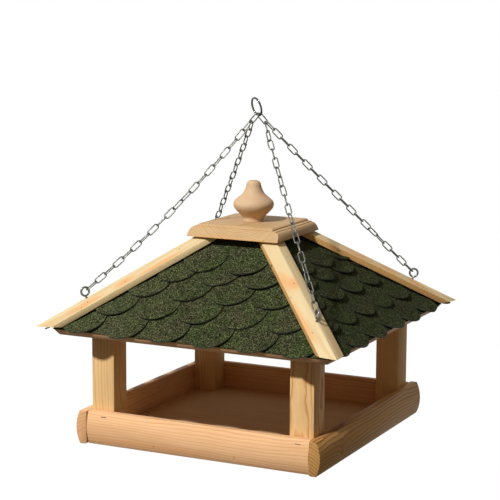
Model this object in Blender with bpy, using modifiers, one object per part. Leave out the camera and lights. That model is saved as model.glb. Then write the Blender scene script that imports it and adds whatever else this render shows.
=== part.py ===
"""Hanging bird feeder: a railed tray with four posts under a shingled hip roof,
hung by four chains from one ring. The origin is the point of the ring that
rests on a hook. X runs to the right along the front, Y runs to the back.
"""

import math

import bmesh
import bpy
from mathutils import Matrix, Vector

# Fit between touching pieces
GAP = 0.0003

# Tray
BASE_SIDE = 0.362
RAIL_HEIGHT = 0.046
RAIL_THICKNESS = 0.016
RAIL_EDGE = 0.0105
RAIL_SOFT_EDGE = 0.002
RAIL_ARC_STEPS = 8
FLOOR_THICKNESS = 0.008

# Posts
POST_SIDE = 0.034

# Roof panels, measured on their upper faces
ROOF_PITCH = math.radians(35.4)
EAVE_OVERHANG = 0.021
EAVE_HEIGHT = 0.160
PANEL_THICKNESS = 0.010

# Shingles
SHINGLE_THICKNESS = 0.0015
TAB_WIDTH = 0.0635
TAB_SLIT = 0.002
TAB_LENGTH = 0.039
TAB_ARC_DEPTH = 0.032
TAB_ARC_STEPS = 6
TAIL_OVERHANG = 0.0093
STARTER_THICKNESS = 0.0010
STARTER_OVERHANG = 0.0005
STARTER_HEAD = 0.034
COURSE_INSET = 0.0008

# Places of the five tails and the mean lap, as shares of the slope
COURSE_SHARES = (0.0, 0.1897, 0.3824, 0.5445, 0.6512)
LAP_SHARE = 0.1780

# Hip covers
COVER_LIFT = 0.0072
COVER_THICKNESS = 0.0066
COVER_LEG = 0.0266
COVER_REACH = 0.0172

# Cap board and finial
CAP_SIDE = 0.137
CAP_REST = 0.0605
CAP_HEIGHT = 0.017
CAP_MOULDING = 0.0135
CAP_END_RAKE = 0.012
CAP_PLACE = (-0.002, -0.001)
FINIAL_HEIGHT = 0.056
FINIAL_RADIUS = 0.0282
FINIAL_SEGMENTS = 18
TENON_RADIUS = 0.005
TENON_LENGTH = 0.011
TENON_HOLE_DEPTH = 0.013

# Eye screws
EYE_WIRE = 0.0029
EYE_MID_RADIUS = 0.0058
EYE_INSET = 0.0325
EYE_LEAN = math.radians(12.0)
EYE_GAP = math.radians(28.0)
EYE_STEM = 0.0030
EYE_SHANK = 0.0068
EYE_STEPS = 13

# Ring
RING_WIRE = 0.0028
RING_MID_RADIUS = 0.0125
RING_TURN = math.radians(-36.0)
RING_LEAN = math.radians(15.0)
RING_BEARING = math.radians(18.0)

# Chain
LINK_WIRE = 0.0018
LINK_INNER_LENGTH = 0.01536
LINK_INNER_WIDTH = 0.0052
LINK_COUNT = 20
LINK_BITE = 0.0006
END_LINK_DROP = 0.0007
TOP_LINK_LEAN = math.radians(38.6)
SLACK_SAG = 0.0085
TAUT_SAG = 0.0012
HANG_SHIFT = (0.0036, 0.0018)

# Corner points of a link's rounded ends, as shares of the end's radius
LINK_CORNERS = ((0.30, 1.0), (1.0, 0.44))

SIDES = (
    ("front", 0, -0.004),
    ("right", 90, -0.013),
    ("back", 180, 0.005),
    ("left", 270, -0.006),
)
CORNERS = (
    ("front_right", 0),
    ("back_right", 90),
    ("back_left", 180),
    ("front_left", 270),
)

COS = math.cos(ROOF_PITCH)
SIN = math.sin(ROOF_PITCH)
TAN = math.tan(ROOF_PITCH)
HALF = BASE_SIDE / 2
INNER = HALF - RAIL_THICKNESS
EAVE_HALF = HALF + EAVE_OVERHANG
EYE_CORNER = EAVE_HALF - EYE_INSET
COVER_TOP = COVER_LIFT + COVER_THICKNESS
CAP_BOTTOM = EAVE_HEIGHT + (EAVE_HALF - CAP_REST) * TAN + COVER_TOP / COS
ROOF_TOP = CAP_BOTTOM - GAP
LAP_LIFT = SHINGLE_THICKNESS + GAP
ROOF_SLOPE = (ROOF_TOP - EAVE_HEIGHT) / SIN
COURSE_TAILS = [share * ROOF_SLOPE - TAIL_OVERHANG for share in COURSE_SHARES]
COURSE_TILT = LAP_LIFT / (LAP_SHARE * ROOF_SLOPE)
END_LINK_SIDE = LINK_WIRE / 2 + 0.6 * GAP
CUT_OVERRUN = EYE_STEM


def clear_scene():
    for thing in list(bpy.data.objects):
        bpy.data.objects.remove(thing, do_unlink=True)


def new_collection(name):
    made = bpy.data.collections.new(name)
    bpy.context.scene.collection.children.link(made)
    return made


def new_material(name, colour, roughness, metallic=0.0):
    made = bpy.data.materials.new(name)
    made.use_nodes = True
    shader = made.node_tree.nodes["Principled BSDF"]
    shader.inputs["Base Color"].default_value = (*colour, 1.0)
    shader.inputs["Roughness"].default_value = roughness
    shader.inputs["Metallic"].default_value = metallic
    made.diffuse_color = (*colour, 1.0)
    return made


clear_scene()
FEEDER = new_collection("bird_feeder")
CUTTERS = new_collection("cutters")

RAIL_PINE = new_material("rail_pine", (0.78, 0.50, 0.27), 0.55)
POST_PINE = new_material("post_pine", (0.74, 0.52, 0.26), 0.55)
COVER_PINE = new_material("cover_pine", (0.86, 0.70, 0.44), 0.55)
ROOF_BOARD = new_material("roof_board", (0.66, 0.43, 0.23), 0.65)
FLOOR_BOARD = new_material("floor_board", (0.48, 0.31, 0.16), 0.70)
CAP_PINE = new_material("cap_pine", (0.76, 0.52, 0.24), 0.55)
FINIAL_PINE = new_material("finial_pine", (0.72, 0.50, 0.28), 0.50)
BITUMEN = new_material("green_bitumen", (0.10, 0.14, 0.06), 0.95)
ZINC = new_material("zinc_steel", (0.42, 0.42, 0.42), 0.40, 1.0)
CHROME = new_material("polished_steel", (0.55, 0.56, 0.58), 0.18, 1.0)


# Objects and meshes


def place(name, mesh, material, parent, location=(0, 0, 0), rotation=(0, 0, 0)):
    mesh.name = name
    mesh.materials.clear()
    mesh.materials.append(material)
    made = bpy.data.objects.new(name, mesh)
    FEEDER.objects.link(made)
    made.parent = parent
    made.location = location
    made.rotation_euler = rotation
    return made


def new_empty(name, location=(0, 0, 0), rotation=(0, 0, 0), parent=None):
    made = bpy.data.objects.new(name, None)
    made.empty_display_size = 0.03
    FEEDER.objects.link(made)
    made.location = location
    made.rotation_euler = rotation
    made.parent = parent
    return made


def mesh_from(build):
    mesh = bpy.data.meshes.new("mesh")
    shape = bmesh.new()
    build(shape)
    bmesh.ops.recalc_face_normals(shape, faces=shape.faces)
    shape.to_mesh(mesh)
    shape.free()
    return mesh


def hull(points):
    """Convex solid round the points."""

    def build(shape):
        verts = [shape.verts.new(point) for point in points]
        bmesh.ops.convex_hull(shape, input=verts)

    return mesh_from(build)


def prism(outline, depth, axes=None):
    """Outline of (x, y) pairs raised along Z by depth; axes turns the result."""

    def build(shape):
        verts = [shape.verts.new((x, y, 0)) for x, y in outline]
        face = shape.faces.new(verts)
        grown = bmesh.ops.extrude_face_region(shape, geom=[face])["geom"]
        moved = [item for item in grown if isinstance(item, bmesh.types.BMVert)]
        bmesh.ops.translate(shape, vec=(0, 0, depth), verts=moved)
        if axes is not None:
            bmesh.ops.transform(shape, matrix=axes, verts=shape.verts)

    return mesh_from(build)


def wire_mesh(paths, radius, closed):
    """Round wire along one or more point lists."""
    curve = bpy.data.curves.new("wire", "CURVE")
    curve.dimensions = "3D"
    curve.bevel_depth = radius
    curve.bevel_resolution = 1
    curve.use_fill_caps = not closed
    for path in paths:
        spline = curve.splines.new("POLY")
        spline.points.add(len(path) - 1)
        for point, spot in zip(spline.points, path):
            point.co = (*spot, 1.0)
        spline.use_cyclic_u = closed
    holder = bpy.data.objects.new("wire", curve)
    CUTTERS.objects.link(holder)
    bpy.context.view_layer.update()
    graph = bpy.context.evaluated_depsgraph_get()
    mesh = bpy.data.meshes.new_from_object(holder.evaluated_get(graph))
    bpy.data.objects.remove(holder)
    shape = bmesh.new()
    shape.from_mesh(mesh)
    bmesh.ops.remove_doubles(shape, verts=shape.verts, dist=1e-6)
    bmesh.ops.recalc_face_normals(shape, faces=shape.faces)
    shape.to_mesh(mesh)
    shape.free()
    return mesh


def smooth(thing):
    for face in thing.data.polygons:
        face.use_smooth = True


def cutter(name, mesh, parent, location=(0, 0, 0), rotation=(0, 0, 0)):
    made = bpy.data.objects.new(name, mesh)
    CUTTERS.objects.link(made)
    made.parent = parent
    made.location = location
    made.rotation_euler = rotation
    made.hide_render = True
    made.display_type = "WIRE"
    return made


def combine(thing, other, operation):
    step = thing.modifiers.new(operation.lower(), "BOOLEAN")
    step.operation = operation
    step.solver = "EXACT"
    step.object = other


def cylinder(radius, low, high, segments):
    def build(shape):
        spot = Matrix.Translation((0, 0, (low + high) / 2))
        bmesh.ops.create_cone(
            shape,
            cap_ends=True,
            segments=segments,
            radius1=radius,
            radius2=radius,
            depth=high - low,
            matrix=spot,
        )

    return mesh_from(build)


def turned(point, degrees):
    return Matrix.Rotation(math.radians(degrees), 3, "Z") @ Vector(point)


def roof_point(u, s, h):
    """Point on the front roof plane: u along the eave, s up the slope, h above it."""
    y = -EAVE_HALF + s * COS - h * SIN
    z = EAVE_HEIGHT + s * SIN + h * COS
    return Vector((u, y, z))


def hip_half_width(s):
    """Half width of the front roof plane at slope distance s."""
    return EAVE_HALF - s * COS


# Chain runs, worked out from the ring down to the eye screws

UP = Vector((0, 0, 1))
RING_LINE = Vector((math.cos(RING_TURN), math.sin(RING_TURN), 0))
RING_UP = math.cos(RING_LEAN) * UP + math.sin(RING_LEAN) * RING_LINE.cross(UP)
RING_RISE = RING_MID_RADIUS * math.cos(RING_BEARING)
SWING_Z = -(RING_RISE + RING_MID_RADIUS - RING_WIRE / 2) * math.cos(RING_LEAN)
RING_CENTRE = SWING_Z * UP + RING_RISE * RING_UP
HOOK = RING_CENTRE + (RING_MID_RADIUS - RING_WIRE / 2) * RING_UP
LINK_MID_RADIUS = (LINK_INNER_WIDTH + LINK_WIRE) / 2
LINK_STRAIGHT = LINK_INNER_LENGTH - LINK_INNER_WIDTH
LINK_CROWN = (LINK_INNER_LENGTH + LINK_WIRE) / 2
RING_SEAT = LINK_MID_RADIUS - (RING_WIRE + LINK_WIRE) / 2 - GAP


def top_link_frame():
    """Seat on the ring, pull, side and normal directions of the right top link."""
    seat = SWING_Z * UP + RING_MID_RADIUS * math.sin(RING_BEARING) * RING_LINE
    run = RING_SEAT + LINK_STRAIGHT
    pull_y = -seat.y / run
    flat = math.sqrt(1 - pull_y**2)
    pull = Vector((flat * math.sin(TOP_LINK_LEAN), pull_y, -flat * math.cos(TOP_LINK_LEAN)))
    tangent = math.cos(RING_BEARING) * RING_LINE + math.sin(RING_BEARING) * UP
    normal = (tangent - tangent.dot(pull) * pull).normalized()
    side = normal.cross(pull)
    return seat, pull, side, normal


def eye_frame():
    """Base and axis of the front right eye screw, in feeder heights."""
    ridge = EAVE_HEIGHT + (EAVE_HALF - EYE_CORNER) * TAN + COVER_TOP / COS
    base = Vector((EYE_CORNER, -EYE_CORNER, ridge))
    outward = Vector((1, -1, 0)).normalized()
    axis = math.sin(EYE_LEAN) * outward + math.cos(EYE_LEAN) * UP
    return base, axis, outward


SEAT, PULL, LINK_SIDE, LINK_NORMAL = top_link_frame()
LOW_CROWN = SEAT + (RING_SEAT + LINK_STRAIGHT) * PULL
EYE_BASE, EYE_AXIS, EYE_OUT = eye_frame()
EYE_CENTRE = EYE_BASE + (EYE_STEM + EYE_MID_RADIUS) * EYE_AXIS
EYE_SEAT = EYE_MID_RADIUS - (EYE_WIRE + LINK_WIRE) / 2 - GAP


def house_height():
    """Height of the tray's underside below the hook point, for taut chains."""
    run = (LINK_COUNT - 1) * (LINK_INNER_LENGTH + LINK_BITE) + 2 * LINK_CROWN
    start = LOW_CROWN + END_LINK_DROP * PULL
    height = -run
    for _ in range(12):
        toward = (EYE_CENTRE + height * UP - start).normalized()
        hold = EYE_CENTRE - EYE_SEAT * toward
        level = math.hypot(hold.x - start.x, hold.y - start.y)
        height = start.z - math.sqrt(run**2 - level**2) - hold.z
    return height


HOUSE_Z = house_height()


def stadium(centre, along, across):
    """Eight points of a chain link's wire."""
    half = LINK_STRAIGHT / 2
    quarter = [(half + a * LINK_MID_RADIUS, b * LINK_MID_RADIUS) for a, b in LINK_CORNERS]
    spots = quarter + [(a, -b) for a, b in reversed(quarter)]
    spots += [(-a, -b) for a, b in quarter] + [(-a, b) for a, b in reversed(quarter)]
    return [centre + a * along + b * across for a, b in spots]


def chain_links(start, end, first_across, sag):
    """Centres and axes of the links of one chain from its top crown to its eye."""
    steps = 400
    line = end - start
    across_end = line.cross(UP).normalized()
    droop = across_end.cross(line).normalized()
    if droop.z > 0:
        droop = -droop
    spots = []
    for i in range(steps + 1):
        t = i / steps
        spots.append(start + t * line + 4 * sag * t * (1 - t) * droop)
    reach = [0.0]
    for a, b in zip(spots, spots[1:]):
        reach.append(reach[-1] + (b - a).length)
    pitch = (reach[-1] - 2 * LINK_CROWN) / (LINK_COUNT - 1)
    links = []
    j = 0
    twist = None
    for i in range(LINK_COUNT):
        want = LINK_CROWN + i * pitch
        while reach[j + 1] < want:
            j += 1
        part = (want - reach[j]) / (reach[j + 1] - reach[j])
        centre = spots[j].lerp(spots[j + 1], part)
        along = (spots[j + 1] - spots[j]).normalized()
        upright = across_end.cross(along).normalized()
        if twist is None:
            angle = math.atan2(first_across.dot(upright), first_across.dot(across_end))
            twist = angle % math.pi - math.pi / 2
        rest = LINK_COUNT - 1 - i
        turn = math.pi / 2 * rest + twist * rest / (LINK_COUNT - 1)
        across = math.cos(turn) * across_end + math.sin(turn) * upright
        links.append((centre, along, across))
    return links


# The parent of everything that swings has its X axis along the bearing line

RING_EMPTY = new_empty("hook_point")
SWING = new_empty("swing_axis", SWING_Z * UP - HOOK, (0, 0, RING_TURN), RING_EMPTY)
HANGING = new_empty("hanging", (0, 0, 0), (0, 0, -RING_TURN), SWING)
HOUSE_SPOT = Vector((-HANG_SHIFT[0], -HANG_SHIFT[1], HOUSE_Z))
HOUSE = new_empty("house", HOUSE_SPOT - SWING_Z * UP, (0, 0, 0), HANGING)


# Ring and top links


def make_ring():
    bpy.ops.mesh.primitive_torus_add(
        major_segments=24,
        minor_segments=8,
        major_radius=RING_MID_RADIUS,
        minor_radius=RING_WIRE / 2,
    )
    made = bpy.context.object
    made.name = "hanging_ring"
    made.data.name = "hanging_ring"
    for owner in list(made.users_collection):
        owner.objects.unlink(made)
    FEEDER.objects.link(made)
    made.data.materials.append(CHROME)
    made.location = RING_CENTRE - HOOK
    made.rotation_euler = (math.pi / 2 + RING_LEAN, 0, RING_TURN)
    made.parent = RING_EMPTY
    smooth(made)


def make_top_links():
    centre = SEAT + (RING_SEAT + LINK_STRAIGHT / 2) * PULL - Vector((0, 0, SWING_Z))
    for name, degrees in (("top_link_right", 0), ("top_link_left", 180)):
        path = [turned(spot, degrees) for spot in stadium(centre, PULL, LINK_SIDE)]
        made = place(name, wire_mesh([path], LINK_WIRE / 2, True), ZINC, HANGING)
        smooth(made)


def make_chain(name, start_side, eye_degrees, turn_degrees, sag):
    """One fused run of links; start_side picks its seat in the top link."""
    start = LOW_CROWN + END_LINK_DROP * PULL + start_side * END_LINK_SIDE * LINK_SIDE
    eye = turned(turned(EYE_CENTRE, eye_degrees) + HOUSE_SPOT, -turn_degrees)
    toward = (eye - start).normalized()
    end = eye - EYE_SEAT * toward
    across = LINK_NORMAL - LINK_NORMAL.dot(toward) * toward
    links = chain_links(start, end, across.normalized(), sag)
    down = Vector((0, 0, SWING_Z))
    groups = ([], [])
    for i, (centre, along, sideways) in enumerate(links):
        path = [turned(spot - down, turn_degrees) for spot in stadium(centre, along, sideways)]
        groups[i % 2].append(path)
    odd, even = (wire_mesh(group, LINK_WIRE / 2, True) for group in groups)
    made = place(name, odd, ZINC, HANGING)
    other = cutter(name + "_other_links", even, HANGING)
    combine(made, other, "UNION")
    smooth(made)


def make_chains():
    make_chain("chain_front_right", -1, 0, 0, TAUT_SAG)
    make_chain("chain_back_right", 1, 90, 0, TAUT_SAG)
    make_chain("chain_back_left", -1, 180, 180, TAUT_SAG)
    make_chain("chain_front_left", 1, 270, 180, SLACK_SAG)


def make_eye_screws():
    path = [(0, 0, -EYE_SHANK), (0, 0, EYE_STEM * 0.4)]
    sweep = 2 * math.pi - EYE_GAP
    for i in range(EYE_STEPS + 1):
        angle = -math.pi / 2 + EYE_GAP * 0.3 + sweep * i / EYE_STEPS
        x = EYE_MID_RADIUS * math.cos(angle)
        z = EYE_STEM + EYE_MID_RADIUS + EYE_MID_RADIUS * math.sin(angle)
        path.append((x, 0, z))
    for name, degrees in CORNERS:
        spot = turned(EYE_BASE, degrees)
        heading = math.radians(degrees - 45)
        turn = (Matrix.Rotation(heading, 4, "Z") @ Matrix.Rotation(EYE_LEAN, 4, "Y")).to_euler()
        mesh = wire_mesh([path], EYE_WIRE / 2, False)
        made = place("eye_screw_" + name, mesh, ZINC, HOUSE, spot, turn)
        smooth(made)


# Tray


def rail_outline():
    """Section of a rail: x from its flat inner face out to the bulge, y up."""
    rise = RAIL_THICKNESS - RAIL_EDGE
    radius = (rise**2 + (RAIL_HEIGHT / 2) ** 2) / (2 * rise)
    reach = math.asin(RAIL_HEIGHT / 2 / radius)
    soft = RAIL_SOFT_EDGE
    outline = [(0, soft), (soft, 0)]
    for i in range(RAIL_ARC_STEPS + 1):
        angle = reach * (2 * i / RAIL_ARC_STEPS - 1)
        x = RAIL_THICKNESS - radius + radius * math.cos(angle)
        outline.append((x, RAIL_HEIGHT / 2 + radius * math.sin(angle)))
    outline += [(soft * 0.5, RAIL_HEIGHT), (0, RAIL_HEIGHT - soft * 0.5)]
    return outline


def make_rails():
    axes = Matrix(((0, 0, 1, 0), (-1, 0, 0, 0), (0, 1, 0, 0), (0, 0, 0, 1)))
    for name, degrees, length in (
        ("front", 0, 2 * (INNER - GAP)),
        ("back", 180, 2 * (INNER - GAP)),
        ("right", 90, BASE_SIDE),
        ("left", 270, BASE_SIDE),
    ):
        shift = Matrix.Translation((-length / 2, -INNER, 0))
        mesh = prism(rail_outline(), length, shift @ axes)
        place("rail_" + name, mesh, RAIL_PINE, HOUSE, rotation=(0, 0, math.radians(degrees)))


def make_floor():
    half = INNER - GAP
    outline = ((-half, -half), (half, -half), (half, half), (-half, half))
    place("floor_panel", prism(outline, FLOOR_THICKNESS), FLOOR_BOARD, HOUSE)


def make_posts():
    far = INNER - GAP
    near = far - POST_SIDE
    low = FLOOR_THICKNESS + GAP
    under = PANEL_THICKNESS / COS + GAP / COS

    def top(v):
        return EAVE_HEIGHT + (EAVE_HALF - v) * TAN - under

    for name, degrees in CORNERS:
        points = [(x, -y, low) for x in (near, far) for y in (near, far)]
        points += [(x, -y, top(max(x, y))) for x in (near, far) for y in (near, far)]
        place("post_" + name, hull(points), POST_PINE, HOUSE, rotation=(0, 0, math.radians(degrees)))


# Roof


def make_roof_panels():
    """Each panel is mitred to its neighbours down the hips and cut level at the top."""
    slope_top = ROOF_SLOPE
    for name, degrees, _ in SIDES:
        points = []
        for h in (0.0, -PANEL_THICKNESS):
            for s in (0.0, slope_top - h * COS / SIN):
                half = hip_half_width(s) + h * SIN - GAP
                points += [roof_point(-half, s, h), roof_point(half, s, h)]
        turn = (0, 0, math.radians(degrees))
        place("roof_panel_" + name, hull(points), ROOF_BOARD, HOUSE, rotation=turn)


def tail_profile(tail, shift, phase):
    """Scalloped lower edge of a course as (u, s) points from left to right."""
    half = (TAB_WIDTH - TAB_SLIT) / 2
    points = []
    for k in range(-5, 6):
        centre = (k + phase) * TAB_WIDTH + shift
        points.append((centre - half, tail + TAB_LENGTH))
        for i in range(TAB_ARC_STEPS + 1):
            angle = math.pi * (i / TAB_ARC_STEPS - 0.5)
            depth = TAB_ARC_DEPTH * (1 - math.cos(angle))
            points.append((centre + half * math.sin(angle), tail + depth))
        points.append((centre + half, tail + TAB_LENGTH))
    return points


def clipped(points, edge):
    """Walks from the middle outward and stops where the profile meets the hip."""
    kept = []
    last = None
    for u, s in points:
        room = hip_half_width(s) - edge - abs(u)
        if room < 0:
            if last is not None:
                part = last[2] / (last[2] - room)
                kept.append((last[0] + part * (u - last[0]), last[1] + part * (s - last[1])))
            break
        kept.append((u, s))
        last = (u, s, room)
    return kept


def course_outline(tail, head, shift, phase):
    profile = tail_profile(tail, shift, phase)
    edge = COURSE_INSET
    middle = len(profile) // 2
    right = clipped(profile[middle:], edge)
    left = clipped(profile[middle - 1 :: -1], edge)
    half = hip_half_width(head) - edge
    return left[::-1] + right + [(half, head), (-half, head)]


def lay_course(name, outline, thickness, tail, lift, tilt, degrees):
    """Puts a flat piece on the roof with its tail raised by lift and its head down."""
    flat = [(u, s - tail) for u, s in outline]
    spot = turned(roof_point(0, tail, lift), degrees)
    turn = (ROOF_PITCH - tilt, 0, math.radians(degrees))
    place(name, prism(flat, thickness), BITUMEN, HOUSE, spot, turn)


def make_shingles():
    for name, degrees, shift in SIDES:
        low, high = -STARTER_OVERHANG, STARTER_HEAD
        edge = COURSE_INSET
        ends = [(low, hip_half_width(low) - edge), (high, hip_half_width(high) - edge)]
        strip = [(-ends[0][1], low), (ends[0][1], low), (ends[1][1], high), (-ends[1][1], high)]
        lay_course("starter_strip_" + name, strip, STARTER_THICKNESS, low, GAP, 0.0, degrees)
        lift = 2 * GAP + STARTER_THICKNESS + COURSE_TILT * (STARTER_HEAD - COURSE_TAILS[0])
        for i, tail in enumerate(COURSE_TAILS):
            if i:
                lift += LAP_LIFT - COURSE_TILT * (tail - COURSE_TAILS[i - 1])
            head = tail + (lift - GAP) / COURSE_TILT
            highest = ROOF_SLOPE - (lift + SHINGLE_THICKNESS) * COS / SIN
            head = min(head, highest)
            outline = course_outline(tail, head, shift, 0.5 * ((i + 1) % 2))
            label = f"shingle_course_{name}_{i + 1}"
            lay_course(label, outline, SHINGLE_THICKNESS, tail, lift, COURSE_TILT, degrees)


def make_hip_covers():
    """Folded strips over the hips, cut level at both ends."""
    tip = EAVE_HALF + COVER_REACH
    low = EAVE_HEIGHT + (EAVE_HALF - tip) * TAN + COVER_TOP / COS
    hip = Vector((-1, 1, TAN))
    ridge = {}
    for h in (COVER_TOP, COVER_LIFT):
        away = EAVE_HALF - (low - EAVE_HEIGHT - h / COS) / TAN
        ridge[h] = Vector((away, -away, low))
    outer, inner = ridge[COVER_TOP], ridge[COVER_LIFT]
    drop = Vector((0, -SIN, COS))
    skew = COVER_THICKNESS * drop
    leg = outer + Vector((-COVER_LEG, 0, 0))
    toe = leg - skew
    toe = toe + hip * ((low - toe.z) / TAN)
    other_leg = Vector((-leg.y, -leg.x, leg.z))
    other_toe = Vector((-toe.y, -toe.x, toe.z))
    section = [outer, leg, toe, inner, other_toe, other_leg]
    run = (ROOF_TOP - low) / TAN * hip

    def build(shape):
        rings = []
        for shift in (Vector(), run):
            rings.append([shape.verts.new(spot + shift) for spot in section])
        shape.faces.new(rings[0])
        shape.faces.new(rings[1][::-1])
        count = len(section)
        for i in range(count):
            j = (i + 1) % count
            shape.faces.new((rings[0][i], rings[1][i], rings[1][j], rings[0][j]))

    hole_radius = EYE_WIRE / 2 + GAP
    for name, degrees in CORNERS:
        turn = (0, 0, math.radians(degrees))
        made = place("hip_cover_" + name, mesh_from(build), COVER_PINE, HOUSE, rotation=turn)
        spot = turned(EYE_BASE, degrees)
        heading = math.radians(degrees - 45)
        lean = (Matrix.Rotation(heading, 4, "Z") @ Matrix.Rotation(EYE_LEAN, 4, "Y")).to_euler()
        drill = cylinder(hole_radius, -EYE_SHANK - GAP, CUT_OVERRUN, 12)
        combine(made, cutter("drill_" + name, drill, HOUSE, spot, lean), "DIFFERENCE")


# Cap and finial


def cap_outline():
    """Section across the cap: a round bottom member, a quirk, a ledge and a step."""
    profile = (
        (1.0, 0.0),
        (0.98, 0.24),
        (0.93, 0.47),
        (0.80, 0.65),
        (0.65, 0.72),
        (0.50, 0.70),
        (0.43, 0.76),
        (0.20, 0.82),
        (0.12, 0.86),
        (0.07, 0.95),
        (0.0, 1.0),
    )
    top = CAP_SIDE / 2 - CAP_MOULDING
    side = [(top + x * CAP_MOULDING, z * CAP_HEIGHT) for x, z in profile]
    return side + [(-x, z) for x, z in reversed(side)]


def make_cap():
    """The moulding runs from front to back, and both ends are sawn with a rake."""
    outline = cap_outline()

    def build(shape):
        ends = []
        for way in (-1, 1):
            end = []
            for x, z in outline:
                reach = CAP_SIDE / 2 - CAP_END_RAKE * z / CAP_HEIGHT
                end.append(shape.verts.new((x, way * reach, z)))
            ends.append(end)
        shape.faces.new(ends[0])
        shape.faces.new(ends[1][::-1])
        count = len(outline)
        for i in range(count):
            j = (i + 1) % count
            shape.faces.new((ends[0][i], ends[1][i], ends[1][j], ends[0][j]))

    spot = (*CAP_PLACE, CAP_BOTTOM)
    made = place("cap_board", mesh_from(build), CAP_PINE, HOUSE, spot)
    bore = cylinder(
        TENON_RADIUS + GAP, CAP_HEIGHT - TENON_HOLE_DEPTH, CAP_HEIGHT + CUT_OVERRUN, 18
    )
    combine(made, cutter("finial_bore", bore, HOUSE, spot), "DIFFERENCE")


def make_finial():
    profile = (
        (0.0, 1.0),
        (0.20, 0.995),
        (0.31, 0.965),
        (0.37, 0.88),
        (0.43, 0.78),
        (0.54, 0.68),
        (0.76, 0.575),
        (0.92, 0.51),
        (1.0, 0.415),
        (0.94, 0.31),
        (0.80, 0.23),
        (0.60, 0.14),
        (0.50, 0.075),
        (0.50, 0.0),
    )
    points = [(r * FINIAL_RADIUS, z * FINIAL_HEIGHT) for r, z in profile]
    points += [(TENON_RADIUS, 0), (TENON_RADIUS, -TENON_LENGTH), (0, -TENON_LENGTH)]
    mesh = bpy.data.meshes.new("finial")
    count = len(points)
    mesh.from_pydata([(r, 0, z) for r, z in points], [(i, i + 1) for i in range(count - 1)], [])
    spot = (*CAP_PLACE, CAP_BOTTOM + CAP_HEIGHT + GAP)
    made = place("finial", mesh, FINIAL_PINE, HOUSE, spot)
    spin = made.modifiers.new("turn", "SCREW")
    spin.steps = FINIAL_SEGMENTS
    spin.render_steps = FINIAL_SEGMENTS
    spin.use_merge_vertices = True
    spin.merge_threshold = 0.00005
    spin.use_smooth_shade = True


make_ring()
make_top_links()
make_chains()
make_eye_screws()
make_rails()
make_floor()
make_posts()
make_roof_panels()
make_shingles()
make_hip_covers()
make_cap()
make_finial()
bpy.context.view_layer.update()
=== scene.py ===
"""Hanging bird feeder: pine tray, posts and hip covers, a roof of scalloped felt
shingles, a turned finial, and four chains that meet at one ring.
X runs to the right along the front, Y to the back and Z up, in metres.
"""

import math

import bmesh
import bpy
from bpy.props import FloatProperty, FloatVectorProperty, IntProperty, PointerProperty
from mathutils import Matrix, Vector, noise


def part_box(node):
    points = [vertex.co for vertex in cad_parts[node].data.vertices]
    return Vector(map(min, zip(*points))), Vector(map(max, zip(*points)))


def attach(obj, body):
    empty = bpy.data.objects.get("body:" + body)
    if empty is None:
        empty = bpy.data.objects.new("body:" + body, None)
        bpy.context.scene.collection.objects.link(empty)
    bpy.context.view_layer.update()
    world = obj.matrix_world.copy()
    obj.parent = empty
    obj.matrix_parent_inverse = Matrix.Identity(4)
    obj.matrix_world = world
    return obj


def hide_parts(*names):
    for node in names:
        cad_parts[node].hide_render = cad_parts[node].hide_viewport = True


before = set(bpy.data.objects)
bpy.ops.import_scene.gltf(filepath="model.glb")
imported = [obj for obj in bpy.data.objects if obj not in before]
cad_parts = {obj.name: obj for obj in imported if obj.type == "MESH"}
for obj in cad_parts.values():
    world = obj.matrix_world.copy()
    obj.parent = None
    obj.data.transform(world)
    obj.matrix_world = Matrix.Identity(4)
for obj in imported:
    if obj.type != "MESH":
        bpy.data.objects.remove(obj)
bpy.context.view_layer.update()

bl_info = {
    "name": "Hanging Bird Feeder",
    "version": (1, 0, 0),
    "blender": (4, 5, 0),
    "location": "View3D > Sidebar > Feeder",
    "description": "Builds a wooden bird feeder with a shingled hip roof on four chains",
    "category": "Object",
}

# Bearings of the corners, and of the sides with the shift of their tabs
CORNERS = {"front_right": 0, "back_right": 90, "back_left": 180, "front_left": 270}
SIDES = {"front": (0, -0.004), "right": (90, -0.013), "back": (180, 0.005), "left": (270, -0.006)}
# Bearing of a chain's top link, side of its crown, sag, and the twist: its first and
# last link counted up from the eye, and its degrees
CHAINS = {
    "front_right": (0, -1, 0.0012, 2, 19, 306),
    "back_right": (0, 1, 0.0012, 3, 6, -90),
    "back_left": (180, -1, 0.0012, 0, 19, 6),
    "front_left": (180, 1, 0.0085, 7.5, 11.5, -90),
}
# Places are measured from the middle of the tray's underside. A knot has a radius
# too, a blush a reach along the grain and half a width.
COVER_KNOTS = {
    "front_right": (((0.1145, -0.1190, 0.2350), 0.0016),),
    "back_right": (((0.128, 0.120, 0.226), 0.0018), ((0.160, 0.152, 0.204), 0.0014)),
    "back_left": (((-0.110, 0.118, 0.236), 0.0018),),
    "front_left": (((-0.1263, -0.1404, 0.2207), 0.0012), ((-0.168, -0.1846, 0.1893), 0.0012)),
}
BLUSH = {
    "front_right": (
        ((0.1135, -0.1200, 0.2350), 0.016, 0.0080),
        ((0.1000, -0.1180, 0.2365), 0.026, 0.0095),
        ((0.150, -0.170, 0.200), 0.050, 0.0035),
    ),
    "back_right": (
        ((0.110, 0.100, 0.238), 0.034, 0.010),
        ((0.145, 0.136, 0.215), 0.026, 0.008),
        ((0.175, 0.166, 0.194), 0.020, 0.007),
    ),
    "back_left": (((-0.120, 0.125, 0.230), 0.030, 0.006),),
    "front_left": (
        ((-0.090, -0.108, 0.243), 0.045, 0.0045),
        ((-0.1263, -0.1404, 0.2207), 0.020, 0.0050),
        ((-0.165, -0.180, 0.192), 0.035, 0.0050),
    ),
}
RAIL_KNOTS = {"right": (((0.1799, -0.1069, 0.0140), 0.0046),)}
FINIAL_KNOTS = (((0.0150, -0.0280, 0.3109), 0.0007),)
RAIL_BLUSH = {"front": (((-0.066, -0.1795, 0.0085), 0.120, 0.0050),)}
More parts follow.
